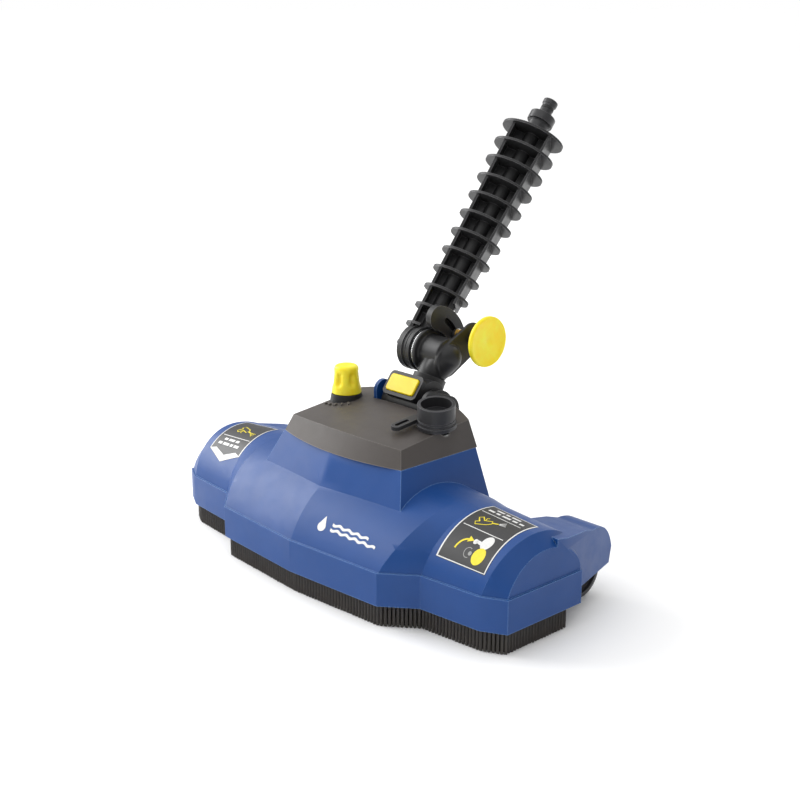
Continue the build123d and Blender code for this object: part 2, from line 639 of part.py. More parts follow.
def under_tray():
    """Flat black tray that closes the shell from below and holds the spray bar."""
    face = offset(make_face(Polyline(*BAND, close=True)), -(WALL + 0.4))
    tray = extrude(Pos(0, 0, 28.4) * face, 2.6)
    for x in NOZZLE_XS:
        tray -= rod((x, SPRAY_Y, 20), (x, SPRAY_Y, 40), 3.2)
    for x in (-150, -35, 35, 150):
        saddle = block(x - 4, x + 4, SPRAY_Y - 10, SPRAY_Y + 10, 31.0, 40.0)
        tray += saddle - rod((x - 5, SPRAY_Y, SPRAY_Z), (x + 5, SPRAY_Y, SPRAY_Z), 7.0)
    return tray


def brush_face(inset, thick):
    """Plan ring of the brush skirt just inside the band."""
    outline = make_face(Polyline(*BAND, close=True))
    return offset(outline, -inset) - offset(outline, -inset - thick)


FRONT_ZONE = (-199.0, 199.0, -215.0, -158.0)
SIDE_ZONE = (180.0, 201.0, -157.0, -90.0)
REAR_ZONE = (-138.0, 138.0, -70.0, -45.0)


def brush_strip(zone, grow=0.0, z0=0.0, z1=BRISTLE_TOP_Z):
    """Part of the skirt inside a rectangle in plan."""
    x0, x1, y0, y1 = zone
    face = brush_face(BRISTLE_INSET - grow, BRISTLE_T + 2 * grow)
    return extrude(Pos(0, 0, z0) * face, z1 - z0) & block(x0, x1, y0, y1, z0 - 1, z1 + 1)


def mirrored_zone(zone):
    x0, x1, y0, y1 = zone
    return (-x1, -x0, y0, y1)


BRUSH_ZONES = {
    "bristles_front": FRONT_ZONE, "bristles_right": SIDE_ZONE,
    "bristles_left": mirrored_zone(SIDE_ZONE), "bristles_rear": REAR_ZONE}


def brush_rails():
    """Black channels that clamp the bristle strips under the tray."""
    rails = []
    for zone in BRUSH_ZONES.values():
        rail = brush_strip(zone, 0.7, 20.4, 28.3) - brush_strip(zone, 0.1, 0.0, BRISTLE_TOP_Z + 0.1)
        rails.append(rail)
    return group(rails)


def wheel():
    """Right-hand wheel: tyre tread grooves, recessed disc and a hub."""
    body = rod((WHEEL_X0, WHEEL_Y, WHEEL_R), (WHEEL_X1, WHEEL_Y, WHEEL_R), WHEEL_R)
    body = fillet(body.edges(), 1.6)
    for x, out in ((WHEEL_X1, 1), (WHEEL_X0, -1)):
        a, b = (x - 3.4 * out, WHEEL_Y, WHEEL_R), (x + out, WHEEL_Y, WHEEL_R)
        body -= ring(a, b, WHEEL_R - 4.0, 8.0)
    return body - rod((140, WHEEL_Y, WHEEL_R), (180, WHEEL_Y, WHEEL_R), WHEEL_BORE_R + FIT_GAP)


def stub_axle():
    """Steel stub axle with a retaining head."""
    shank = rod((141.0, WHEEL_Y, WHEEL_R), (170.2, WHEEL_Y, WHEEL_R), WHEEL_BORE_R)
    head = rod((WHEEL_X1 + 0.4, WHEEL_Y, WHEEL_R), (170.4, WHEEL_Y, WHEEL_R), 6.4)
    return shank + head


def wheel_bracket():
    """Bracket on the inner side of the wheel, screwed under the deck."""
    leg = block(141.5, 146.6, BAND_REAR_Y, -26.0, 15.0, 58.0)
    leg = fillet(leg.edges().filter_by(Axis.X), 6)
    boss = rod((146.4, WHEEL_Y, WHEEL_R), (151.1, WHEEL_Y, WHEEL_R), 8.0)
    return leg + boss - rod((140, WHEEL_Y, WHEEL_R), (152, WHEEL_Y, WHEEL_R), WHEEL_BORE_R)


def tray_screws():
    """Pan-head screws under the tray, a group of separate solids."""
    screws = []
    for x, y in ((-100, -150), (100, -150), (-100, -88), (100, -88), (0, -165), (-170, -120), (170, -120)):
        head = rod((x, y, 26.2), (x, y, 28.4), 3.6)
        cross = block(x - 2.2, x + 2.2, y - 0.5, y + 0.5, 25.8, 27.2)
        screws.append(head - cross)
    return group(screws)


PARTS = {
    "deck_shell": deck_shell,
    "top_cover": top_cover,
    "yoke": yoke,
    "rocker_housing": rocker_housing,
    "release_button": release_button,
    "release_spring": release_spring,
    "elbow": elbow,
    "index_pin": index_pin,
    "index_spring": index_spring,
    "pull_knob": pull_knob,
    "hub_ring": hub_ring,
    "hub_axle": hub_axle,
    "hub_seal": hub_seal,
    "arm": arm,
    "bayonet_inlet": bayonet_inlet,
    "inlet_seal": inlet_seal,
    "knob_collar": knob_collar,
    "regulator_knob": regulator_knob,
    "regulator_stem": regulator_stem,
    "filler_cap": filler_cap,
    "cap_seal": cap_seal,
    "detergent_tank": detergent_tank,
    "filler_neck": filler_neck,
    "spray_bar": spray_bar,
    "spray_nozzles": spray_nozzles,
    "feed_hose": feed_hose,
    "under_tray": under_tray,
    "brush_rails": brush_rails,
    "tray_screws": tray_screws}

for node, make in PARTS.items():
    write(node, make())

for node, zone in BRUSH_ZONES.items():
    write(node, brush_strip(zone))

for node, make in {"wheel": wheel, "stub_axle": stub_axle, "wheel_bracket": wheel_bracket}.items():
    for side, shape in zip(("right", "left"), both_sides(make())):
        write(f"{node}_{side}", shape)

for side in (-1, 1):
    pin = rod((side * 20, TILT_Y, TILT_Z), (side * (CHEEK_OUT + 0.6), TILT_Y, TILT_Z), TRUNNION_R)
    write("trunnion_left" if side < 0 else "trunnion_right", pin)
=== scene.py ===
import json
import random
from math import cos, degrees, exp, hypot, pi, radians, sin

import bmesh
import bpy
from mathutils import Matrix, Vector, geometry
from mathutils.bvhtree import BVHTree


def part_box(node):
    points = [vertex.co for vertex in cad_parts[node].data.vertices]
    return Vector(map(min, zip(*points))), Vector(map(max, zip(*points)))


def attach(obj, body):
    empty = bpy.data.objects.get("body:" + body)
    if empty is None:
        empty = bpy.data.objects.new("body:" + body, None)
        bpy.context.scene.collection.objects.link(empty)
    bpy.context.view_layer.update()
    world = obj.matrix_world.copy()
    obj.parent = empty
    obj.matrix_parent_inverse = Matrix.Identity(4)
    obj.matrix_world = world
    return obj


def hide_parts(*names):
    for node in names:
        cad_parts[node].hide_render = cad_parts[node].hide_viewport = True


MM = 0.001
Y_SHIFT = 38.54          # the deck drawing's y plus this is the row's y
SEED = 11

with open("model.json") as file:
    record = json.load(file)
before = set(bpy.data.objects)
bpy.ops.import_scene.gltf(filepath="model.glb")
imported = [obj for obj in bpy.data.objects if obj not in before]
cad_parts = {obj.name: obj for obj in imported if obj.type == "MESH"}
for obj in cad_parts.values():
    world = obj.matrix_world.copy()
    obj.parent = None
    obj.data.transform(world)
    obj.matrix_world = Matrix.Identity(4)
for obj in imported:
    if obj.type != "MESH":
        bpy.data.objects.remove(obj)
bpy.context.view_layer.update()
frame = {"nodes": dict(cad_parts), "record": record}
cad = frame["nodes"]


# ------------------------------------------------------------------ materials
def linear(red, green, blue):
    """An sRGB colour, 0 to 255, as linear RGBA."""
    def channel(value):
        value /= 255
        return value / 12.92 if value <= 0.04045 else ((value + 0.055) / 1.055) ** 2.4
    return channel(red), channel(green), channel(blue), 1.0


class Nodes:
    """A short way to build one material's node tree."""

    def __init__(self, name):
        self.material = bpy.data.materials.new(name)
        self.material.use_nodes = True
        self.tree = self.material.node_tree
        self.tree.nodes.clear()
        self.output = self.add("ShaderNodeOutputMaterial")
        self.shader = self.add("ShaderNodeBsdfPrincipled")
        self.link(self.shader.outputs["BSDF"], self.output.inputs["Surface"])
        self.coordinates = self.add("ShaderNodeTexCoord").outputs["Object"]

    def add(self, kind):
        return self.tree.nodes.new(kind)

    def link(self, source, target):
        self.tree.links.new(source, target)

    def stretched(self, scale):
        mapping = self.add("ShaderNodeMapping")
        mapping.inputs["Scale"].default_value = scale
        self.link(self.coordinates, mapping.inputs["Vector"])
        return mapping.outputs["Vector"]

    def noise(self, scale, detail=3.0, roughness=0.55, vector=None):
        node = self.add("ShaderNodeTexNoise")
        node.inputs["Scale"].default_value = scale
        node.inputs["Detail"].default_value = detail
        node.inputs["Roughness"].default_value = roughness
        self.link(vector or self.coordinates, node.inputs["Vector"])
        return node.outputs["Fac"]

    def spread(self, value, low, high, start=0.3, end=0.7):
        """A value between low and high as the input goes from start to end."""
        node = self.add("ShaderNodeMapRange")
        node.inputs["From Min"].default_value = start
        node.inputs["From Max"].default_value = end
        node.inputs["To Min"].default_value = low
        node.inputs["To Max"].default_value = high
        self.link(value, node.inputs["Value"])
        return node.outputs["Result"]

    def mix(self, share, first, second):
        node = self.add("ShaderNodeMix")
        node.data_type = "RGBA"
        self.link(share, node.inputs[0])
        for socket, colour in ((node.inputs[6], first), (node.inputs[7], second)):
            if isinstance(colour, tuple):
                socket.default_value = colour
            else:
                self.link(colour, socket)
        return node.outputs[2]

    def bump(self, height, distance, strength=1.0, under=None):
        node = self.add("ShaderNodeBump")
        node.inputs["Distance"].default_value = distance
        node.inputs["Strength"].default_value = strength
        self.link(height, node.inputs["Height"])
        if under:
            self.link(under, node.inputs["Normal"])
        return node.outputs["Normal"]

    def edge_highlight_mask(self, radius):
        """How far a rounded normal leaves the true one: 0 on flats, up to 1 on edges; the mask of the
        painted edge highlight.
        """
        bevel = self.add("ShaderNodeBevel")
        bevel.samples = 4
        bevel.inputs["Radius"].default_value = radius
        flat = self.add("ShaderNodeNewGeometry").outputs["Normal"]
        dot = self.add("ShaderNodeVectorMath")
        dot.operation = "DOT_PRODUCT"
        self.link(bevel.outputs["Normal"], dot.inputs[0])
        self.link(flat, dot.inputs[1])
        return self.spread(dot.outputs["Value"], 1.0, 0.0, 0.80, 0.995)


def darker(colour, share):
    return colour[0] * share, colour[1] * share, colour[2] * share, 1.0


def moulded(name, colour, rough, grain=1400.0, depth=0.00004, vary=0.86, edge=None, gloss=0.5):
    """Moulded plastic: fine spark-eroded grain, faint flow marks and a painted highlight along the edges.
    """
    n = Nodes(name)
    clouds = n.noise(26.0, 4.0, 0.6)
    flow = n.noise(9.0, 3.0, 0.5, n.stretched((1.0, 3.0, 0.5)))
    tone = n.mix(n.spread(clouds, 0.0, 1.0), darker(colour, vary), colour)
    tone = n.mix(n.spread(flow, 0.0, 0.35), tone, darker(colour, 1.10))
    # painted highlight: the edges are mixed towards the pale edge colour
    if edge:
        tone = n.mix(n.spread(n.edge_highlight_mask(0.0011), 0.0, 0.75, 0.08, 0.8), tone, edge)
    n.link(tone, n.shader.inputs["Base Color"])
    speckle = n.noise(grain, 2.0, 0.7)
    smudges = n.noise(60.0, 5.0, 0.65)
    n.link(n.spread(smudges, rough - 0.05, rough + 0.06), n.shader.inputs["Roughness"])
    n.shader.inputs["Specular IOR Level"].default_value = gloss
    waves = n.bump(n.noise(14.0, 2.0, 0.4), 0.0004, 0.25)
    n.link(n.bump(speckle, depth, 0.55, waves), n.shader.inputs["Normal"])
    return n.material


def metal(name, colour, rough, brush_scale, brush_across):
    """Turned or drawn metal with fine tool lines and faint tarnish."""
    n = Nodes(name)
    n.shader.inputs["Metallic"].default_value = 1.0
    tarnish = n.noise(90.0, 5.0, 0.6)
    tone = n.mix(n.spread(tarnish, 0.0, 1.0), darker(colour, 0.72), colour)
    n.link(tone, n.shader.inputs["Base Color"])
    lines = n.noise(brush_scale, 2.0, 0.6, n.stretched(brush_across))
    n.link(n.spread(lines, rough - 0.07, rough + 0.12), n.shader.inputs["Roughness"])
    n.link(n.bump(lines, 0.00003, 0.5), n.shader.inputs["Normal"])
    return n.material


def rubber(name, colour, rough):
    """Matt rubber with a fine pebbled skin and a dusty bloom."""
    n = Nodes(name)
    bloom = n.noise(130.0, 5.0, 0.7)
    tone = n.mix(n.spread(bloom, 0.0, 0.7), colour, darker(colour, 2.2))
    n.link(tone, n.shader.inputs["Base Color"])
    n.link(n.spread(bloom, rough - 0.05, rough + 0.08), n.shader.inputs["Roughness"])
    n.link(n.bump(n.noise(2400.0, 2.0), 0.00004, 0.6), n.shader.inputs["Normal"])
    return n.material


def nylon(name, colour):
    """Bristle nylon: lengthwise streaks, paler and dustier towards the worn tips."""
    n = Nodes(name)
    streaks = n.noise(900.0, 2.0, 0.6, n.stretched((1.0, 1.0, 0.05)))
    split = n.add("ShaderNodeSeparateXYZ")
    n.link(n.coordinates, split.inputs["Vector"])
    worn = n.spread(split.outputs["Z"], 0.45, 0.0, 0.0, 0.010)
    tone = n.mix(n.spread(streaks, 0.0, 1.0), darker(colour, 0.55), darker(colour, 1.5))
    n.link(n.mix(worn, tone, darker(colour, 2.0)), n.shader.inputs["Base Color"])
    n.link(n.spread(streaks, 0.38, 0.56), n.shader.inputs["Roughness"])
    n.link(n.bump(streaks, 0.00006, 0.6), n.shader.inputs["Normal"])
    return n.material


def clear_tinted(name, body, glow):
    """Slightly translucent bright plastic with light carried inside it."""
    n = Nodes(name)
    clouds = n.noise(70.0, 4.0, 0.6)
    tone = n.mix(n.spread(clouds, 0.0, 1.0), body, glow)
    n.link(tone, n.shader.inputs["Base Color"])
    n.shader.inputs["Subsurface Weight"].default_value = 0.35
    n.shader.inputs["Subsurface Radius"].default_value = (0.004, 0.004, 0.0012)
    n.shader.inputs["Subsurface Scale"].default_value = 1.0
    n.shader.inputs["Specular IOR Level"].default_value = 0.4
    n.link(n.spread(n.noise(90.0, 4.0), 0.34, 0.46), n.shader.inputs["Roughness"])
    n.link(n.bump(n.noise(700.0, 2.0), 0.00003, 0.4), n.shader.inputs["Normal"])
    return n.material


def ink(name, colour, rough):
    """Screen print on film: even colour with faint mottling and a printed tooth."""
    n = Nodes(name)
    mottle = n.noise(480.0, 3.0, 0.7)
    tone = n.mix(n.spread(mottle, 0.0, 1.0), darker(colour, 0.88), colour)
    n.link(tone, n.shader.inputs["Base Color"])
    n.link(n.spread(mottle, rough - 0.04, rough + 0.05), n.shader.inputs["Roughness"])
    n.link(n.bump(n.noise(2600.0, 2.0), 0.00001, 0.4), n.shader.inputs["Normal"])
    return n.material


# the pale colour given to each moulded finish below is a painted highlight along its edges
FINISH = {
    "blue_shell": moulded("moulded_blue", linear(14, 66, 132), 0.40, 1500.0, 0.00003, 0.88,
                          linear(118, 156, 205), 0.36),
    "grey_cover": moulded("grained_grey", linear(74, 69, 66), 0.50, 1100.0, 0.00007, 0.86,
                          linear(124, 120, 116), 0.38),
    "black_plastic": moulded("moulded_black", linear(36, 36, 37), 0.42, 1500.0, 0.00004, 0.80,
                             linear(78, 78, 80), 0.30),
    "elbow_plastic": moulded("elbow_black", linear(38, 38, 39), 0.38, 1300.0, 0.00005, 0.82,
                             linear(84, 84, 87), 0.32),
    "arm_plastic": moulded("arm_black", linear(40, 40, 41), 0.38, 1300.0, 0.00005, 0.80,
                           linear(108, 108, 110), 0.34),
    "inlet_plastic": moulded("inlet_black", linear(44, 44, 46), 0.34, 1500.0, 0.00003, 0.82,
                             linear(104, 104, 108)),
    "cap_plastic": moulded("cap_black", linear(46, 46, 48), 0.42, 1300.0, 0.00005, 0.82,
                           linear(104, 104, 108), 0.36),
    "wheel_plastic": moulded("wheel_grey", linear(62, 62, 64), 0.46, 1200.0, 0.00006, 0.80,
                             linear(120, 120, 122)),
    "yellow_plastic": clear_tinted("lemon_plastic", linear(255, 220, 18), linear(252, 240, 62)),
    "tank_plastic": moulded("tank_milky", linear(206, 208, 204), 0.42, 1500.0, 0.00002, 0.92),
    "bristle_nylon": nylon("brush_nylon", linear(52, 48, 45)),
    "seal_rubber": rubber("seal_black", linear(22, 22, 22), 0.62),
    "hose_rubber": rubber("hose_black", linear(26, 26, 27), 0.55),
    "pin_steel": metal("turned_steel", linear(196, 198, 200), 0.26, 900.0, (14.0, 1.0, 1.0)),
    "bar_steel": metal("drawn_steel", linear(186, 188, 190), 0.32, 700.0, (0.05, 3.0, 3.0)),
    "ring_steel": metal("bright_steel", linear(232, 233, 235), 0.20, 900.0, (12.0, 1.0, 1.0)),
    "spring_steel": metal("spring_wire", linear(180, 182, 184), 0.28, 1600.0, (1.0, 1.0, 1.0)),
    "spring_brass": metal("brass_wire", linear(222, 176, 78), 0.24, 1600.0, (1.0, 1.0, 1.0)),
    "nozzle_brass": metal("turned_brass", linear(214, 170, 80), 0.28, 900.0, (1.0, 1.0, 14.0))}

SLOT_NODES = {
    "blue_shell": ["deck_shell", "yoke"],
    "grey_cover": ["top_cover"],
    "black_plastic": ["knob_collar", "under_tray", "brush_rails", "wheel_bracket_left",
                      "wheel_bracket_right", "rocker_housing"],
    "elbow_plastic": ["elbow"],
    "arm_plastic": ["arm"],
    "inlet_plastic": ["bayonet_inlet"],
    "cap_plastic": ["filler_cap"],
    "wheel_plastic": ["wheel_left", "wheel_right"],
    "yellow_plastic": ["release_button", "pull_knob", "regulator_knob"],
    "tank_plastic": ["detergent_tank", "filler_neck"],
    "bristle_nylon": ["bristles_front", "bristles_left", "bristles_right", "bristles_rear"],
    "seal_rubber": ["inlet_seal", "hub_seal", "cap_seal"],
    "hose_rubber": ["feed_hose"],
    "pin_steel": ["trunnion_left", "trunnion_right", "tray_screws", "stub_axle_left",
                  "stub_axle_right", "index_pin", "hub_axle"],
    "bar_steel": ["spray_bar"],
    "ring_steel": ["hub_ring"],
    "spring_steel": ["release_spring"],
    "spring_brass": ["index_spring"],
    "nozzle_brass": ["spray_nozzles", "regulator_stem"]}
SLOT_OF = {node: slot for slot, nodes in SLOT_NODES.items() for node in nodes}
BODIES = frame["record"]["behaviour"]["bodies"]
BODY_OF = {node: body for body, nodes in BODIES.items() for node in nodes}

for node, obj in cad.items():
    obj.data.materials.clear()
    obj.data.materials.append(FINISH[SLOT_OF[node]])


# ------------------------------------------------------------------ pieces
def new_piece(name, mesh, body, finish, smooth=None):
    """A mesh as a piece that rides on a body, in one of the finishes."""
    piece = bpy.data.objects.new(name, mesh)
    bpy.context.scene.collection.objects.link(piece)
    mesh.materials.clear()
    mesh.materials.append(finish)
    if smooth is not None:
        mesh.polygons.foreach_set("use_smooth", [True] * len(mesh.polygons))
        mesh.set_sharp_from_angle(angle=radians(smooth))
    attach(piece, body)
    return piece


def stand_in(piece, node):
    """The piece takes the place of a CAD node, whose part is hidden."""
    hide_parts(node)
    return piece


CLOSE = 0.000004         # points nearer than this are one point
FLAT = radians(0.35)     # faces that meet at less than this are one face

# the deck's creases are planes that lean outwards from a foot: its x, and the lean in degrees
CREASES = [(0.0, 0.0), (97.7, 19.0), (123.5, 8.0), (180.5, 11.0)]
CREASE_FOOT_Z, CREASE_REACH, CREASE_MISS = 46.0, 30.0, 0.08


def on_crease(point):
    """Whether a point of the deck lies in one of the crease planes."""
    x, up = abs(point.x) / MM, point.z / MM - CREASE_FOOT_Z
    return up > -CREASE_REACH and any(
        abs(cos(radians(lean)) * (x - foot) - sin(radians(lean)) * up) < CREASE_MISS
        for foot, lean in CREASES)


ARM_X = -23.0
ARM_UP = Vector((0.0, 0.6369, 0.7711))           # along the arm at rest
ARM_ACROSS = Vector((0.848, 0.4086, -0.3375))    # in the plane of its middle web
WEB_SIZE = (22.0, 2.6, 18.0)                     # across, through and along the arm
WEB_ABOVE_HUB = 22.0


def lower_web(shape):
    """Closes the arm's web between its last fin and the hub."""
    low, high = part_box("hub_axle")
    hub = Vector((ARM_X * MM, (low.y + high.y) / 2, (low.z + high.z) / 2))
    rotation = Matrix((ARM_ACROSS, ARM_ACROSS.cross(ARM_UP), ARM_UP)).transposed().to_4x4()
    place = Matrix.Translation(hub + ARM_UP * WEB_ABOVE_HUB * MM) @ rotation
    size = Matrix.Diagonal([side * MM for side in WEB_SIZE] + [1.0])
    bmesh.ops.create_cube(shape, size=1.0, matrix=place @ size)


def closed_shape(mesh):
    """A mesh as one joined shape to edit."""
    shape = bmesh.new()
    shape.from_mesh(mesh)
    bmesh.ops.remove_doubles(shape, verts=shape.verts, dist=CLOSE)
    return shape


def merge_flats(shape):
    """Joins the triangles of each flat face."""
    bmesh.ops.dissolve_limit(shape, angle_limit=FLAT, verts=shape.verts, edges=shape.edges)


def softened(node, width):
    """The CAD node with its edges rounded, as a moulding has them."""
    shape = closed_shape(cad[node].data)
    merge_flats(shape)
    if node == "arm":
        lower_web(shape)
    mesh = bpy.data.meshes.new(node + "_soft")
    for edge in shape.edges:
        edge.smooth = not (node == "deck_shell" and all(on_crease(v.co) for v in edge.verts))
    for face in shape.faces:
        face.smooth = True
    shape.to_mesh(mesh)
    shape.free()
    piece = new_piece(node + "_soft", mesh, BODY_OF[node], FINISH[SLOT_OF[node]])
    bevel = piece.modifiers.new("rounded_edges", "BEVEL")
    bevel.width = width * MM
    bevel.segments = 2
    bevel.limit_method = "ANGLE"
    bevel.angle_limit = radians(28.0)
    bevel.use_clamp_overlap = True
    bevel.miter_outer = "MITER_ARC"
    weighted = piece.modifiers.new("even_shading", "WEIGHTED_NORMAL")
    weighted.keep_sharp = True
    weighted.weight = 80
    return stand_in(piece, node)


SOFT_EDGES = {
    "deck_shell": 1.3, "top_cover": 1.0, "yoke": 0.6, "rocker_housing": 0.8, "release_button": 0.4,
    "arm": 0.45, "bayonet_inlet": 0.4, "filler_cap": 0.45, "knob_collar": 0.4,
    "wheel_left": 0.4, "wheel_right": 0.4}
for node, width in SOFT_EDGES.items():
    softened(node, width)
# darker, more orange copy of the yellow plastic for the release button: painted shade that holds down the
# top light on its upward faces
bpy.data.objects["release_button_soft"].data.materials[0] = clear_tinted(
    "button_yellow_painted_shade", linear(226, 196, 2), linear(230, 206, 8))


def bar(shape, start, end, start_r, end_r):
    """Round tapered bar with ball ends; points and radii in millimetres."""
    a, b = Vector(start) * MM, Vector(end) * MM
    turn = (b - a).to_track_quat("Z", "Y").to_matrix().to_4x4()
    bmesh.ops.create_cone(shape, cap_ends=True, segments=48, radius1=start_r * MM, radius2=end_r * MM,
                          depth=(b - a).length, matrix=Matrix.Translation((a + b) / 2) @ turn)
    bmesh.ops.create_uvsphere(shape, u_segments=40, v_segments=24, radius=end_r * MM,
                              matrix=Matrix.Translation(b))


def blended(node, voxel, rounds, added):
    """The CAD node and a bar as one thick moulding: inner corners filled, edges melted."""
    mesh = cad[node].data.copy()
    mesh.name = node + "_blend"
    shape = closed_shape(mesh)
    bar(shape, *added)
    shape.to_mesh(mesh)
    shape.free()
    piece = new_piece(node + "_blend", mesh, BODY_OF[node], FINISH[SLOT_OF[node]])
    remesh = piece.modifiers.new("one_skin", "REMESH")
    remesh.mode = "VOXEL"
    remesh.voxel_size = voxel * MM
    remesh.use_smooth_shade = True
    melt = piece.modifiers.new("melted_edges", "SMOOTH")
    melt.factor = 0.5
    melt.iterations = rounds
    return stand_in(piece, node)


# the pipe bends into the knuckle's right end, in front of the ear
PIPE_FOOT = (3.0, -51.5 + Y_SHIFT, 155.4)
BEND = (14.0, -43.0 + Y_SHIFT, 171.5)
blended("elbow", 0.6, 9, (PIPE_FOOT, BEND, 11.6, 12.6))


CHEEK_FROM_X, CHEEK_FROM_Z = 27.9, 118.0
CHEEK_MIDDLE = Vector((30.0, -64.5 + Y_SHIFT, 128.0)) * MM
COVER_GROWTH = Vector((1.18, 1.05, 1.05))


def cheek_cover():
    """Black cover over the right cheek of the yoke, a little larger than the cheek."""
    shape = closed_shape(cad["yoke"].data)
    away = [v for v in shape.verts if v.co.x < CHEEK_FROM_X * MM or v.co.z < CHEEK_FROM_Z * MM]
    bmesh.ops.delete(shape, geom=away, context="VERTS")
    merge_flats(shape)
    for v in shape.verts:
        v.co = CHEEK_MIDDLE + (v.co - CHEEK_MIDDLE) * COVER_GROWTH
    mesh = bpy.data.meshes.new("cheek_cover")
    shape.to_mesh(mesh)
    shape.free()
    cover = new_piece("cheek_cover", mesh, "deck", FINISH["black_plastic"], 32)
    edge = cover.modifiers.new("rounded_edges", "BEVEL")
    edge.width = 0.5 * MM
    edge.segments = 2
    edge.limit_method = "ANGLE"


cheek_cover()


def lathe(name, profile, centre, body, finish, steps, ridge=0.0, ridges=0):
    """Turned piece about an axis along x; the profile is (x, radius) pairs in millimetres.
    Ridges make the outermost points knurled."""
    shape = bmesh.new()
    reach = max(r for _, r in profile)
    rings = []
    for k in range(steps):
        turn = 2 * pi * k / steps
        row = []
        for x, radius in profile:
            knurl = ridge * 0.5 * (cos(ridges * turn) - 1) if ridges and radius > reach - 0.5 else 0.0
            r = (radius + knurl) * MM
            row.append(shape.verts.new((x * MM, centre[0] + r * cos(turn), centre[1] + r * sin(turn))))
        rings.append(row)
    for k in range(steps):
        here, there = rings[k], rings[(k + 1) % steps]
        for i in range(len(profile)):
            j = (i + 1) % len(profile)
            shape.faces.new((here[i], here[j], there[j], there[i]))
    bmesh.ops.recalc_face_normals(shape, faces=shape.faces)
    mesh = bpy.data.meshes.new(name)
    shape.to_mesh(mesh)
    shape.free()
    return new_piece(name, mesh, body, finish, 40)


low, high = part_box("hub_ring")
RING_PROFILE = [(low.x / MM, 9.4), (low.x / MM, 17.1), (low.x / MM + 0.5, 17.6),
                (high.x / MM - 0.5, 17.6), (high.x / MM, 17.1), (high.x / MM, 9.4)]
knurled = lathe("knurled_ring", RING_PROFILE, ((low.y + high.y) / 2, (low.z + high.z) / 2),
                "arm", FINISH["ring_steel"], 432, 0.35, 72)
stand_in(knurled, "hub_ring")


DIMPLE_DEPTH, DIMPLE_TALL = 2.3, 5.6             # millimetres
DIMPLE_ARC, DIMPLE_START = 13.5, 15.0            # degrees


def dimpled_knob():
    """Tapered dosing knob with a rounded crown and six deep oval finger dimples."""
    low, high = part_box("regulator_knob")
    cx, cy = (low.x + high.x) / 2, (low.y + high.y) / 2
    tall = (high.z - low.z) / MM
    foot_r, head_r, crown = (high.x - low.x) / MM / 2, 10.6, 3.4
    profile = [(0.0, 3.1), (0.0, foot_r - 0.4), (0.4, foot_r)]
    profile += [(0.4 + (tall - crown - 0.4) * k / 30, foot_r + (head_r - foot_r) * k / 30)
                for k in range(1, 31)]
    profile += [(tall - crown + crown * sin(radians(t)), head_r - crown + crown * cos(radians(t)))
                for t in range(10, 91, 10)]
    profile += [(tall - 0.25, 5.0), (tall - 0.55, 2.5), (tall - 0.6, 0.02)]
    steps = 120
    shape = bmesh.new()
    rings = []
    for z, radius in profile:
        row = []
        for k in range(steps):
            turn = 2 * pi * k / steps
            off = (degrees(turn) + DIMPLE_START + 30) % 60 - 30
            height = z - tall * 0.52
            dent = DIMPLE_DEPTH * exp(-(off / DIMPLE_ARC) ** 2 - (height / DIMPLE_TALL) ** 4)
            r = (radius - (dent if radius > 6 else 0.0)) * MM
            row.append(shape.verts.new((cx + r * cos(turn), cy + r * sin(turn), low.z + z * MM)))
        rings.append(row)
    for here, there in zip(rings, rings[1:]):
        for k in range(steps):
            j = (k + 1) % steps
            shape.faces.new((here[k], here[j], there[j], there[k]))
    bmesh.ops.recalc_face_normals(shape, faces=shape.faces)
    mesh = bpy.data.meshes.new("dosing_knob")
    shape.to_mesh(mesh)
    shape.free()
    return new_piece("dosing_knob", mesh, "regulator", FINISH["yellow_plastic"], 40)


def pull_disc():
    """Dished pull disc with a rolled rim, a shallow centre dimple and a boss behind."""
    low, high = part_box("pull_knob")
    reach = (high.y - low.y) / MM / 2
    face, back = high.x / MM, low.x / MM
    dish = [(face - 2.0, 0.02), (face - 2.05, 1.6), (face - 1.5, 3.0), (face - 1.45, 8.0),
            (face - 1.0, 15.0), (face - 0.55, 18.6)]
    rim = [(face - 0.1, 19.8), (face, 20.6), (face - 0.35, 21.5), (face - 1.2, reach),
           (face - 3.2, reach), (face - 4.1, reach - 0.7), (face - 4.6, reach - 2.0)]
    boss = [(face - 4.6, 8.2), (face - 5.4, 7.2), (back, 7.0), (back, 3.1),
            (face - 6.6, 3.1), (face - 6.6, 0.02)]
    profile = dish + rim + boss
    return lathe("pull_disc", profile, ((low.y + high.y) / 2, (low.z + high.z) / 2), "index",
                 FINISH["yellow_plastic"], 96)


stand_in(dimpled_knob(), "regulator_knob")
stand_in(pull_disc(), "pull_knob")


# ------------------------------------------------------------------ bristles
BAND = [(0, -206.5), (97.7, -199.9), (123.5, -178.6), (180.5, -173.1), (200, -162.9), (200, -80),
        (146, -80), (146, -48), (0, -48)]
BRUSH_INSET, BRUSH_THICK, BRUSH_TOP = 3.5, 7.0, 25.0
TUFT_PITCH, TUFT_R, FILAMENT_R = 3.3, 0.72, 0.52
ZONES = {
    "bristles_front": (-199.0, 199.0, -215.0, -158.0),
    "bristles_right": (180.0, 201.0, -157.0, -90.0),
    "bristles_left": (-201.0, -180.0, -157.0, -90.0),
    "bristles_rear": (-138.0, 138.0, -70.0, -45.0)}


def inset_line(points, inset):
    """The open outline moved inwards (to its right-hand side going round) by inset."""
    moved = []
    for i, (x, y) in enumerate(points):
        normals = []
        for j in (i - 1, i):
            if 0 <= j < len(points) - 1:
                dx, dy = points[j + 1][0] - points[j][0], points[j + 1][1] - points[j][1]
                length = hypot(dx, dy)
                normals.append((-dy / length, dx / length))
        nx, ny = sum(n[0] for n in normals), sum(n[1] for n in normals)
        share = inset / (nx * normals[0][0] + ny * normals[0][1])
        moved.append((x + nx * share, y + ny * share))
    return moved


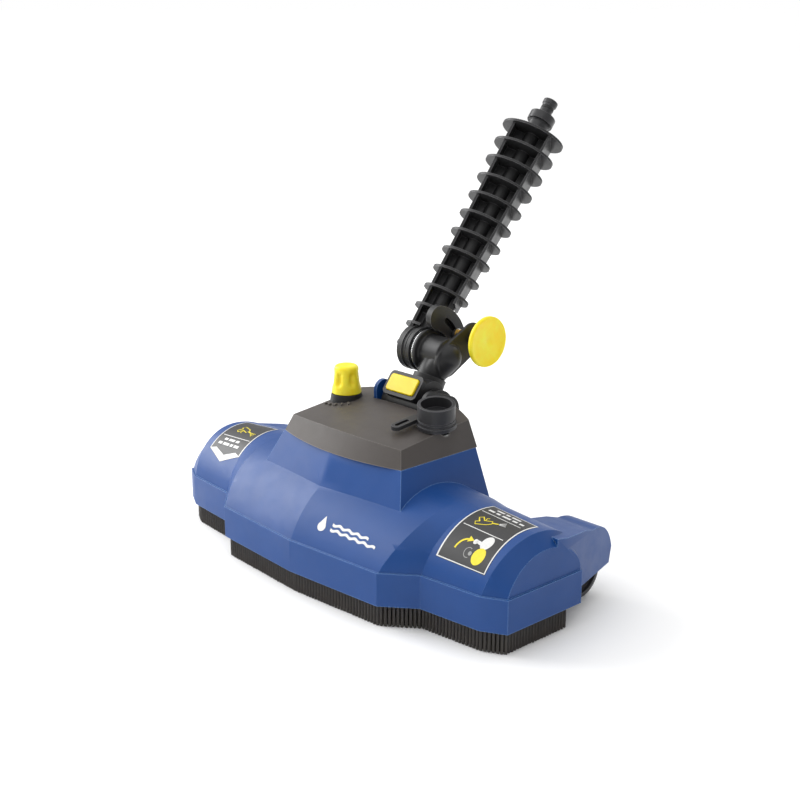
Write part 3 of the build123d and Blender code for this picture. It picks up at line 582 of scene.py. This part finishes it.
def along(points, pitch, offset):
    """Evenly spaced points on an open line, with the line's direction at each."""
    found, travelled = [], offset
    total = 0.0
    for (x0, y0), (x1, y1) in zip(points, points[1:]):
        length = hypot(x1 - x0, y1 - y0)
        while travelled <= total + length:
            share = (travelled - total) / length
            found.append((x0 + (x1 - x0) * share, y0 + (y1 - y0) * share,
                          (x1 - x0) / length, (y1 - y0) / length))
            travelled += pitch
        total += length
    return found


def filament(shape, x, y, lean_x, lean_y, foot, radius):
    """One tapered five-sided filament from the rail down to the floor."""
    rows = []
    for z, share, size in ((BRUSH_TOP, 0.0, 1.0), (foot, 1.0, 0.8)):
        cx, cy = x + lean_x * share, y + lean_y * share
        rows.append([shape.verts.new(((cx + radius * size * cos(2 * pi * k / 5)) * MM,
                                      (cy + Y_SHIFT + radius * size * sin(2 * pi * k / 5)) * MM,
                                      z * MM)) for k in range(5)])
    for k in range(5):
        shape.faces.new((rows[0][k], rows[1][k], rows[1][(k + 1) % 5], rows[0][(k + 1) % 5]))
    shape.faces.new(rows[1][::-1])


def brush(node):
    """Tufts in two rows that follow the skirt, in place of the plain strip."""
    x0, x1, y0, y1 = ZONES[node]
    chance = random.Random(SEED + len(node))
    shape = bmesh.new()
    for depth in (0.24, 0.74):
        line = inset_line(BAND, BRUSH_INSET + BRUSH_THICK * depth)
        spots = along(line, TUFT_PITCH, TUFT_PITCH * 0.5)
        spots += [(-x, y, dx, -dy) for x, y, dx, dy in spots]
        for x, y, dx, dy in spots:
            if not (x0 < x < x1 and y0 < y < y1):
                continue
            for k in range(7):
                out = 0.0 if k == 0 else TUFT_R
                turn = 2 * pi * k / 6 + 0.3
                fx, fy = x + out * cos(turn), y + out * sin(turn)
                foot = 0.0 if k == 0 else chance.uniform(0.0, 0.9)
                filament(shape, fx, fy, 0.12 * cos(turn) * out + chance.uniform(-0.08, 0.08),
                         0.12 * sin(turn) * out + chance.uniform(-0.08, 0.08), foot, FILAMENT_R)
    mesh = bpy.data.meshes.new(node + "_tufts")
    shape.to_mesh(mesh)
    shape.free()
    return stand_in(new_piece(node + "_tufts", mesh, "deck", FINISH["bristle_nylon"], 60), node)


for node in ZONES:
    brush(node)


# ------------------------------------------------------------------ printed labels
def surface_tree(node):
    """Ray-casting tree of one CAD node."""
    mesh = cad[node].data
    return BVHTree.FromPolygons([v.co.copy() for v in mesh.vertices],
                                [tuple(p.vertices) for p in mesh.polygons])


DECK_TREE = surface_tree("deck_shell")
ARCH_Y = -122.0 + Y_SHIFT
WING_AXIS_Z, BARREL_AXIS_Z = 33.0, 11.0
OUTSIDE = 0.16           # metres from the arch's axis, beyond the deck's skin


def on_deck(x, angle, axis_z, lift):
    """The deck's surface at x and at an angle about the arch's axis, forward of upright."""
    out = Vector((0.0, -sin(radians(angle)), cos(radians(angle))))
    centre = Vector((x * MM, ARCH_Y * MM, axis_z * MM))
    spot = DECK_TREE.ray_cast(centre + out * OUTSIDE, -out)[0]
    return spot + out * (lift * MM)


def sheet_mesh(outline, place, cell):
    """Filled outline as triangles no larger than the cell, each point put in place."""
    xs, ys = [p[0] for p in outline], [p[1] for p in outline]
    fine = []
    for (ax, ay), (bx, by) in zip(outline, outline[1:] + outline[:1]):
        steps = max(1, int(hypot(bx - ax, by - ay) / cell + 0.5))
        fine += [Vector((ax + (bx - ax) * k / steps, ay + (by - ay) * k / steps)) for k in range(steps)]
    edges = [(k, (k + 1) % len(fine)) for k in range(len(fine))]
    inside = []
    columns, rows = int((max(xs) - min(xs)) / cell), int((max(ys) - min(ys)) / cell)
    for i in range(1, columns + 1):
        for j in range(1, rows + 1):
            inside.append(Vector((min(xs) + (i - 0.5) * cell, min(ys) + (j - 0.5) * cell)))
    filled = geometry.delaunay_2d_cdt(fine + inside, edges, [list(range(len(fine)))], 1, 1e-5)
    points, faces = filled[0], filled[2]
    return [place(p.x, p.y) for p in points], [tuple(f) for f in faces]


def stroke_outlines(points, width, closed=False):
    """Four-cornered outlines that cover a line of the given width, mitred at its bends."""
    count = len(points)
    sides = []
    for i in range(count):
        before = points[i - 1] if closed or i > 0 else points[i]
        after = points[(i + 1) % count] if closed or i < count - 1 else points[i]
        dx, dy = after[0] - before[0], after[1] - before[1]
        length = hypot(dx, dy) or 1.0
        nx, ny = -dy / length, dx / length
        bend = 1.0
        if before != points[i] and after != points[i]:
            ex, ey = after[0] - points[i][0], after[1] - points[i][1]
            bend = max(0.35, abs(nx * -ey + ny * ex) / (hypot(ex, ey) or 1.0))
        w = width / 2 / bend
        sides.append(((points[i][0] + nx * w, points[i][1] + ny * w),
                      (points[i][0] - nx * w, points[i][1] - ny * w)))
    last = count if closed else count - 1
    return [[sides[i][0], sides[(i + 1) % count][0], sides[(i + 1) % count][1], sides[i][1]]
            for i in range(last)]


def print_on(name, outlines, place, finish, cell=1.2):
    """One printed layer made of several filled outlines, facing outwards."""
    vertices, faces = [], []
    for outline in outlines:
        points, triangles = sheet_mesh(outline, place, cell)
        faces += [tuple(k + len(vertices) for k in f) for f in triangles]
        vertices += points
    mesh = bpy.data.meshes.new(name)
    mesh.from_pydata(vertices, [], faces)
    mesh.update()
    axis = Vector((0.0, ARCH_Y * MM, BARREL_AXIS_Z * MM))
    shape = bmesh.new()
    shape.from_mesh(mesh)
    for face in shape.faces:
        middle = face.calc_center_median()
        if face.normal.dot(Vector((0.0, middle.y - axis.y, middle.z - axis.z))) < 0:
            face.normal_flip()
    shape.to_mesh(mesh)
    shape.free()
    return new_piece(name, mesh, "deck", finish, 50)


def ellipse(cx, cy, rx, ry, turn=0.0, start=0.0, end=360.0, steps=28):
    """Points round an ellipse, or along a part of it."""
    c, s = cos(radians(turn)), sin(radians(turn))
    whole = abs(end - start) >= 360
    points = []
    for k in range(steps if whole else steps + 1):
        t = radians(start + (end - start) * k / steps)
        x, y = rx * cos(t), ry * sin(t)
        points.append((cx + x * c - y * s, cy + x * s + y * c))
    return points


def turned(outline, cx, cy, turn):
    """The outline turned by some degrees and then moved."""
    c, s = cos(radians(turn)), sin(radians(turn))
    return [(cx + x * c - y * s, cy + x * s + y * c) for x, y in outline]


WING_ARC = 54.0 * pi / 180


def wing_place(side, lift):
    """Label coordinates: millimetres across, and millimetres of arc forward of upright."""
    return lambda u, v: on_deck(side * u, v / WING_ARC, WING_AXIS_Z, lift)


DARK_FILM = ink("label_charcoal", linear(44, 44, 45), 0.42)
WHITE_INK = ink("label_white", linear(226, 226, 224), 0.45)
YELLOW_INK = ink("label_yellow", linear(236, 216, 30), 0.45)
GREY_INK = ink("label_grey", linear(150, 150, 148), 0.45)
LABEL_IN, LABEL_OUT = 132.0, 178.0
FILM_LIFT, WHITE_LIFT, GREY_LIFT, YELLOW_LIFT = 0.10, 0.17, 0.20, 0.24


def spray_gun(cx, cy, turn, size):
    """Outline of a generic trigger gun: its body, trigger and lance."""
    body = [(-9.0, 2.4), (1.0, 3.2), (5.2, 1.8), (5.2, -1.8), (-2.0, -2.2), (-3.6, -7.4),
            (-7.4, -6.6), (-6.0, -1.4), (-9.4, -1.0)]
    trigger = [(-1.4, -2.2), (-0.2, -5.4), (1.8, -5.8)]
    lance = [(5.2, 0.6), (11.0, 1.4)]
    return [turned([(x * size, y * size) for x, y in line], cx, cy, turn)
            for line in (body, trigger, lance)]


def fan(cx, cy, turn, size):
    """Four strokes of spray in front of the gun."""
    spray = [[(11.6, 1.4 + k * 0.5), (17.4, 1.6 + k * 1.7)] for k in (-1.5, -0.5, 0.5, 1.5)]
    return [turned([(x * size, y * size) for x, y in line], cx, cy, turn) for line in spray]


def dashes(lines):
    """Plain bars in rows: each row has its upper edge, its lower edge and its (start, length) pairs."""
    return [[(start, top), (start + length, top), (start + length, foot), (start, foot)]
            for top, foot, row in lines for start, length in row]


def right_label():
    """Dark label on the right wing: three panels between white rules."""
    border = [(LABEL_IN, 54.2), (LABEL_OUT, 54.2), (LABEL_OUT + 2.5, -11.5), (LABEL_IN + 2.5, -11.5)]
    film = [(LABEL_IN - 0.8, 55.0), (LABEL_OUT + 0.8, 55.0),
            (LABEL_OUT + 3.3, -12.3), (LABEL_IN + 1.7, -12.3)]
    print_on("label_right_film", [film], wing_place(1, FILM_LIFT), DARK_FILM, 2.0)
    white = stroke_outlines(border, 0.9, True)
    for v in (23.0, 2.6):
        white += stroke_outlines([(LABEL_IN + 4.0, v), (LABEL_OUT - 2.5, v)], 0.7)
    white.append(ellipse(166.5, 31.0, 4.6, 6.6, 12))
    white += [turned([(-3.2, -1.3), (3.2, -1.6), (3.2, 1.6), (-3.2, 1.3)], 160.0, 33.0, 8)]
    white.append(ellipse(157.0, 33.4, 2.0, 2.3))
    white += dashes([(-1.2, -3.6, [(138.5, 6.0), (146.4, 4.0), (152.6, 8.4), (163.0, 5.0), (170.0, 4.4)]),
                     (-6.0, -8.2, [(143.0, 7.6), (152.4, 4.2), (158.4, 9.0)])])
    gun = (150.6, 13.6, -28, 0.92)
    for line in fan(*gun):
        white += stroke_outlines(line, 0.45)
    print_on("label_right_white", white, wing_place(1, WHITE_LIFT), WHITE_INK)
    yellow = [ellipse(166.5, 43.6, 5.4, 7.4, 8)]
    arrow = ellipse(152.0, 45.0, 8.4, 11.5, 0, 185, 262, 12)
    yellow += stroke_outlines(arrow, 1.5)
    tip_x, tip_y = arrow[-1]
    yellow.append([(tip_x - 0.4, tip_y - 3.0), (tip_x + 4.6, tip_y - 0.4), (tip_x - 0.6, tip_y + 2.6)])
    body, trigger, lance = spray_gun(*gun)
    yellow += stroke_outlines(body, 0.7, True)
    yellow += stroke_outlines(trigger, 0.7) + stroke_outlines(lance, 1.3)
    print_on("label_right_yellow", yellow, wing_place(1, YELLOW_LIFT), YELLOW_INK)
    ghost = stroke_outlines(ellipse(156.4, 43.6, 3.4, 4.2, 0, 60, 300, 12), 0.6)
    ghost.append(ellipse(158.4, 43.8, 1.5, 1.8))
    print_on("label_right_grey", ghost, wing_place(1, GREY_LIFT), GREY_INK)


def left_label():
    """Pointed dark label on the left wing, with a white arrow tip towards the front."""
    outer = [(151.0, 50.4), (176.4, 40.8), (180.6, -11.5), (134.5, -11.5), (128.6, 40.8)]
    border = [(151.0, 49.6), (175.6, 40.2), (179.8, -10.8), (135.2, -10.8), (129.4, 40.2)]
    print_on("label_left_film", [outer], wing_place(-1, FILM_LIFT), DARK_FILM, 2.0)
    white = stroke_outlines(border, 0.9, True)
    white.append([(151.0, 49.0), (174.8, 40.0), (168.0, 38.0), (151.0, 43.4), (137.0, 38.0), (130.4, 40.0)])
    white += stroke_outlines([(133.8, 22.4), (174.0, 22.4)], 0.7)
    white += dashes([(33.8, 31.0, [(139.0, 7.0), (148.0, 4.0), (154.0, 9.0), (165.0, 5.4)]),
                     (28.2, 25.6, [(144.0, 5.0), (151.0, 8.6), (161.6, 5.0)])])
    print_on("label_left_white", white, wing_place(-1, WHITE_LIFT), WHITE_INK)
    gun = (156.0, 9.0, 158, 1.0)
    body, trigger, lance = spray_gun(*gun)
    yellow = stroke_outlines(body, 0.8, True)
    yellow += stroke_outlines(trigger, 0.8) + stroke_outlines(lance, 1.4)
    for line in fan(*gun):
        yellow += stroke_outlines(line, 0.5)
    print_on("label_left_yellow", yellow, wing_place(-1, YELLOW_LIFT), YELLOW_INK)


def front_badge():
    """Generic mark on the front: a water drop and two wavy lines."""
    def place(u, v):
        return on_deck(u, v, BARREL_AXIS_Z, 0.16)
    drop = [(26.0, 48.6)] + ellipse(26.0, 54.6, 4.2, 2.6, 0, -40, 220, 20)
    pieces = []
    half, step, per_wave = 0.75, 1.1, 9
    for v, waves in ((51.4, 4), (54.3, 5)):
        line = [(36.0 + k * step, v + 0.5 * sin(2 * pi * k / per_wave))
                for k in range(waves * per_wave + 1)]
        for (ax, ay), (bx, by) in zip(line, line[1:]):
            pieces.append([(ax, ay - half), (bx, by - half), (bx, by + half), (ax, ay + half)])
    print_on("badge_white", [drop] + pieces, place, WHITE_INK, 1.5)


right_label()
left_label()
front_badge()


# ------------------------------------------------------------------ studio
def studio_floor():
    """Plain pale sweep under and behind the object."""
    n = Nodes("studio_paper")
    mottle = n.noise(3.0, 2.0, 0.5)
    n.link(n.mix(n.spread(mottle, 0.0, 1.0), linear(254, 254, 254), linear(255, 255, 255)),
           n.shader.inputs["Base Color"])
    n.shader.inputs["Roughness"].default_value = 0.9
    n.shader.inputs["Specular IOR Level"].default_value = 0.1
    shape = bmesh.new()
    bmesh.ops.create_grid(shape, x_segments=4, y_segments=4, size=200.0)
    mesh = bpy.data.meshes.new("studio_floor")
    shape.to_mesh(mesh)
    shape.free()
    floor = bpy.data.objects.new("studio_floor", mesh)
    bpy.context.scene.collection.objects.link(floor)
    mesh.materials.append(n.material)


def area_light(name, spot, aim, size, power):
    """A white rectangular light at a spot, turned to face its aim."""
    data = bpy.data.lights.new(name, "AREA")
    data.shape = "RECTANGLE"
    data.size, data.size_y = size
    data.energy = power
    light = bpy.data.objects.new(name, data)
    light.location = spot
    light.rotation_euler = (Vector(aim) - Vector(spot)).to_track_quat("-Z", "Y").to_euler()
    bpy.context.scene.collection.objects.link(light)


def surround(strength):
    """A weak white surround that looks plain white to the camera, as the paper does."""
    world = bpy.data.worlds.new("studio_world")
    world.use_nodes = True
    nodes, links = world.node_tree.nodes, world.node_tree.links
    weak = nodes["Background"]
    weak.inputs["Color"].default_value = (1.0, 1.0, 1.0, 1.0)
    weak.inputs["Strength"].default_value = strength
    plain = nodes.new("ShaderNodeBackground")
    plain.inputs["Color"].default_value = (1.0, 1.0, 1.0, 1.0)
    seen = nodes.new("ShaderNodeLightPath")
    either = nodes.new("ShaderNodeMixShader")
    links.new(seen.outputs["Is Camera Ray"], either.inputs["Fac"])
    links.new(weak.outputs["Background"], either.inputs[1])
    links.new(plain.outputs["Background"], either.inputs[2])
    links.new(either.outputs["Shader"], nodes["World Output"].inputs["Surface"])
    bpy.context.scene.world = world


def studio():
    """Broad key light from the left, a small rear light, a soft top light and a weak surround."""
    studio_floor()
    area_light("key", (-1.9, -0.75, 1.1), (0.0, 0.0, 0.1), (1.8, 1.6), 44.0)
    area_light("rear", (-0.4, 1.9, 1.2), (0.0, 0.0, 0.2), (1.4, 1.0), 6.0)
    data = bpy.data.lights.new("overhead", "SUN")
    data.energy = 1.72
    data.angle = radians(110)
    overhead = bpy.data.objects.new("overhead", data)
    overhead.rotation_euler = (radians(8), radians(-14), 0.0)
    bpy.context.scene.collection.objects.link(overhead)
    surround(0.5)
    bpy.context.scene.view_settings.view_transform = "Standard"


def camera():
    """The main camera: in front, to the right and a little above."""
    data = bpy.data.cameras.new("photo_camera")
    data.lens = 62.0
    data.sensor_width = 36.0
    data.clip_start, data.clip_end = 0.05, 50.0
    eye = bpy.data.objects.new("photo_camera", data)
    eye.location = (0.8185, -0.8065, 0.4675)
    eye.rotation_euler = (radians(73.63), 0.0, radians(47.1))
    bpy.context.scene.collection.objects.link(eye)
    bpy.context.scene.camera = eye


studio()
camera()
bpy.context.view_layer.update()
